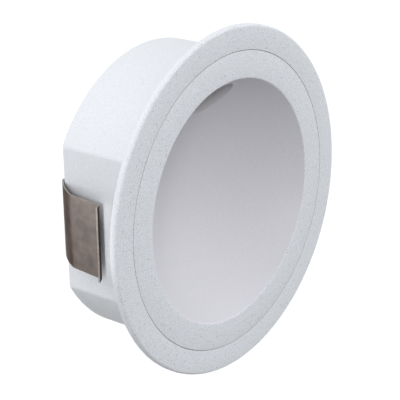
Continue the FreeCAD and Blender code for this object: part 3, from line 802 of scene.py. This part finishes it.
def makeScrews(s):
    turns = [math.radians(turn) for turn in s["postTurns"]]
    posts = [(s["postCircle"] * math.cos(turn), rearFace, s["postCircle"] * math.sin(turn)) for turn in turns]
    block = [(side * s["blockAside"], rearFace, s["blockUp"]) for side in (-1, 1)]
    tabs = [(side * s["tabAside"], rearFace + clip["thickness"], 0) for side in (-1, 1)]
    makeScrewSet(s, "insert_screw_set", "insert_screws", s["longLength"], posts)
    makeScrewSet(s, "heat_block_screw_set", "heat_block_screws", s["shortLength"], block)
    makeScrewSet(s, "clip_screw_set", "clip_screws", s["longLength"], tabs)


makeScrews(screw)


# Cable gland: the hexagonal body and the domed cap nut, moulded with softened edges

gland = {
    "height": 12.0,  # of its axis above the middle
    "bore": 4.5,
    "thread": 6.0,
    "inside": 5.0,  # how far it reaches in behind the rear face
    "foot": 0.8,  # thickness of the washer under it
    "bodyAcross": 15.0,
    "bodyHeight": 3.0,
    "chamferRadius": 8.1,
    "chamfer": 0.35,
    "collar": 4.5,
    "capGap": 0.3,
    "capAcross": 15.2,
    "capFoot": 9.1,
    "capBore": 6.1,
    "capEnd": 1.4,
    "capMouth": 4.0,
    "capRound": 0.6,
    "mouthRound": 0.35,
    "edgeRound": 0.25,
    "edgeRoundSteps": 3,
    "cornerReach": 0.49,  # of the width across the flats, outside which an edge may be a corner
    "cornerAngle": 40.0,  # degrees between faces, from which it is one
    "pitch": 0.3,  # mm between points along the outline
    "steps": 96,
}


def finePath(path, pitch):
    fine = [path[0]]
    for start, end in zip(path, path[1:]):
        count = max(1, round((end - start).length / pitch))
        fine += [start.lerp(end, i / count) for i in range(1, count + 1)]
    return fine


def makeHexPiece(s, name, node, path, across):
    # Turned about its axis, then pressed onto six flats whose corners start at the X axis
    bm = bmesh.new()
    spinPath(bm, finePath(path, s["pitch"]), s["steps"])
    closeMesh(bm)
    sixth = math.pi / 3
    for vert in bm.verts:
        turn = math.atan2(vert.co.z, vert.co.x) % sixth - sixth / 2
        limit = across / 2 * mm / math.cos(turn)
        radius = math.hypot(vert.co.x, vert.co.z)
        if radius > limit:
            vert.co.x *= limit / radius
            vert.co.z *= limit / radius
    corners = []
    for edge in bm.edges:
        nearest = min(math.hypot(v.co.x, v.co.z) for v in edge.verts)
        bent = edge.calc_face_angle(0) > math.radians(s["cornerAngle"])
        if nearest > s["cornerReach"] * across * mm and bent:
            corners.append(edge)
    softenEdges(bm, corners, s["edgeRound"], s["edgeRoundSteps"])
    bmesh.ops.translate(bm, vec=(0, 0, s["height"] * mm), verts=bm.verts)
    bmesh.ops.recalc_face_normals(bm, faces=bm.faces)
    piece = addPiece(bm, name, materials["gland_nylon"])
    dress(piece, "gland_nylon", node)


def makeGland(s):
    low = rearFace - s["inside"]
    foot = rearFace + s["foot"]
    shoulder = foot + s["bodyHeight"]
    collar = shoulder + s["collar"]
    corner = s["bodyAcross"] / math.sqrt(3)
    body = [
        (s["bore"], low, 0),
        (s["thread"], low, 0),
        (s["thread"], foot, 0),
        (s["chamferRadius"], foot, 0),
        (corner, foot + s["chamfer"], 0),
        (corner, shoulder - s["chamfer"], 0),
        (s["chamferRadius"], shoulder, 0),
        (s["thread"], shoulder, 0),
        (s["thread"], collar, 0),
        (s["bore"], collar, 0),
        (s["bore"], low, 0),
    ]
    capFoot = shoulder + s["capGap"]
    top = collar + s["capEnd"]
    cap = [
        (s["capBore"], capFoot, 0),
        (s["capFoot"], capFoot, 0),
        (s["capBore"], top, s["capRound"]),
        (s["capMouth"], top, s["mouthRound"]),
        (s["capMouth"], collar, 0),
        (s["capBore"], collar, 0),
        (s["capBore"], capFoot, 0),
    ]
    makeHexPiece(s, "gland_body_moulding", "gland_body", roundedPath(body), s["bodyAcross"])
    makeHexPiece(s, "gland_cap_nut", "gland_cap", roundedPath(cap), s["capAcross"])


makeGland(gland)


# Finishes of the CAD nodes

for node in nodes.values():
    slotName = node.data.materials[0].name
    if slotName in materials:
        node.data.materials[0] = materials[slotName]
print("CAD nodes dressed")


# Studio: broad soft lamps, a small one beside the camera, a hooded one for the clip's slot, and a pale floor

studio = {
    "ambient": 0.25,
    "white": "#FFFFFF",
    "lamps": {  # angle: degrees across, so that shadows are soft
        "left": {"from": (-1.0, 0.0, 0.25), "strength": 0.50, "angle": 90.0},
        "rearLeft": {"from": (-0.7, 0.5, 0.5), "strength": 1.95, "angle": 90.0},
        "frontRight": {"from": (0.6, -0.6, 0.5), "strength": 2.12, "angle": 90.0},
        "beside": {"from": (-0.76, -0.56, 0.33), "strength": 0.76, "angle": 10.0},
    },
    "hooded": {  # opens up the shade between the left clip and the flange
        "at": (-29.3, 10.2, -2.0),  # mm, on the drum's flat
        "from": (-0.76, -0.56, 0.33),
        "away": 90.0,  # mm
        "size": (3.0, 15.0),  # mm
        "spread": 4.0,  # degrees
        "power": 0.00014,  # W
    },
    "floorDrop": 110.0,  # mm below the middle
    "floorSize": 8.0,  # m
    "floorBounce": "#828282",
}


def seenShare(tree):
    # 1 where the camera, a reflection or a see-through piece looks, 0 where light is gathered
    rays = addNode(tree, "ShaderNodeLightPath").outputs
    seen = addNode(tree, "ShaderNodeMath", {0: rays["Is Camera Ray"], 1: rays["Is Glossy Ray"]},
                   operation="MAXIMUM")
    seen = addNode(tree, "ShaderNodeMath", {0: seen.outputs[0], 1: rays["Is Transmission Ray"]},
                   operation="MAXIMUM")
    return seen.outputs[0]


def makeWorld(s):
    world = bpy.data.worlds.new("studio")
    scene.world = world
    world.use_nodes = True
    tree = world.node_tree
    strength = addNode(tree, "ShaderNodeMapRange",
                       {"Value": seenShare(tree), "To Min": s["ambient"], "To Max": 1.0})
    setInputs(tree, tree.nodes["Background"],
              {"Color": linearColour(s["white"]), "Strength": strength.outputs[0]})


def hangLamp(light, direction):
    lamp = bpy.data.objects.new(light.name, light)
    lamp.rotation_euler = Vector(direction).to_track_quat("Z", "Y").to_euler()
    scene.collection.objects.link(lamp)
    return lamp


def makeLamps(s):
    for name, settings in s["lamps"].items():
        sun = bpy.data.lights.new(name, "SUN")
        sun.energy = settings["strength"]
        sun.angle = math.radians(settings["angle"])
        hangLamp(sun, settings["from"])
    hood = s["hooded"]
    strip = bpy.data.lights.new("strip", "AREA")
    strip.shape = "RECTANGLE"
    strip.size, strip.size_y = [length * mm for length in hood["size"]]
    strip.spread = math.radians(hood["spread"])
    strip.energy = hood["power"]
    toLamp = Vector(hood["from"]).normalized()
    lamp = hangLamp(strip, toLamp)
    lamp.location = (Vector(hood["at"]) + toLamp * hood["away"]) * mm
    lamp.visible_camera = False
    lamp.visible_glossy = False


def makeFloor(s):
    bm = bmesh.new()
    bmesh.ops.create_grid(bm, x_segments=1, y_segments=1, size=s["floorSize"] / 2)
    bmesh.ops.translate(bm, vec=(0, 0, -s["floorDrop"] * mm), verts=bm.verts)
    material, tree, shader = startMaterial("paleFloor")
    colour = addNode(tree, "ShaderNodeMix",
                     {mixShare: seenShare(tree), mixFirst: linearColour(s["floorBounce"]),
                      mixSecond: linearColour(s["white"])}, data_type="RGBA")
    setInputs(tree, shader,
              {"Base Color": colour.outputs[mixResult], "Roughness": 1.0, "Specular IOR Level": 0.0})
    floor = addPiece(bm, "floor", material)


makeWorld(studio)
makeLamps(studio)
makeFloor(studio)
print("studio lit")


# Camera at the photograph's viewing angle

view = {
    "azimuth": -51.25,  # degrees, as are the next two
    "elevation": 20.34,
    "roll": -0.88,
    "distance": 317.66,  # mm from the middle of the front face, and mm from here on
    "aside": -7.55,
    "above": 0.48,
    "lens": 128.48,
    "sensor": 36.0,
    "clipStart": 10.0,
}


def makeCamera(s):
    turn = math.radians(s["azimuth"])
    lift = math.radians(s["elevation"])
    back = Vector((math.sin(turn) * math.cos(lift), -math.cos(turn) * math.cos(lift), math.sin(lift)))
    level = Vector((0, 0, 1)).cross(back).normalized()
    right = Matrix.Rotation(math.radians(s["roll"]), 3, back) @ level
    up = back.cross(right)
    data = bpy.data.cameras.new("camera")
    data.lens = s["lens"]
    data.sensor_width = s["sensor"]
    data.clip_start = s["clipStart"] * mm
    camera = bpy.data.objects.new("camera", data)
    spot = Vector((0, frontFace, 0)) + back * s["distance"] + right * s["aside"] + up * s["above"]
    camera.matrix_world = Matrix.Translation(spot * mm) @ Matrix((right, up, back)).transposed().to_4x4()
    scene.collection.objects.link(camera)
    scene.camera = camera


makeCamera(view)
print("camera set")
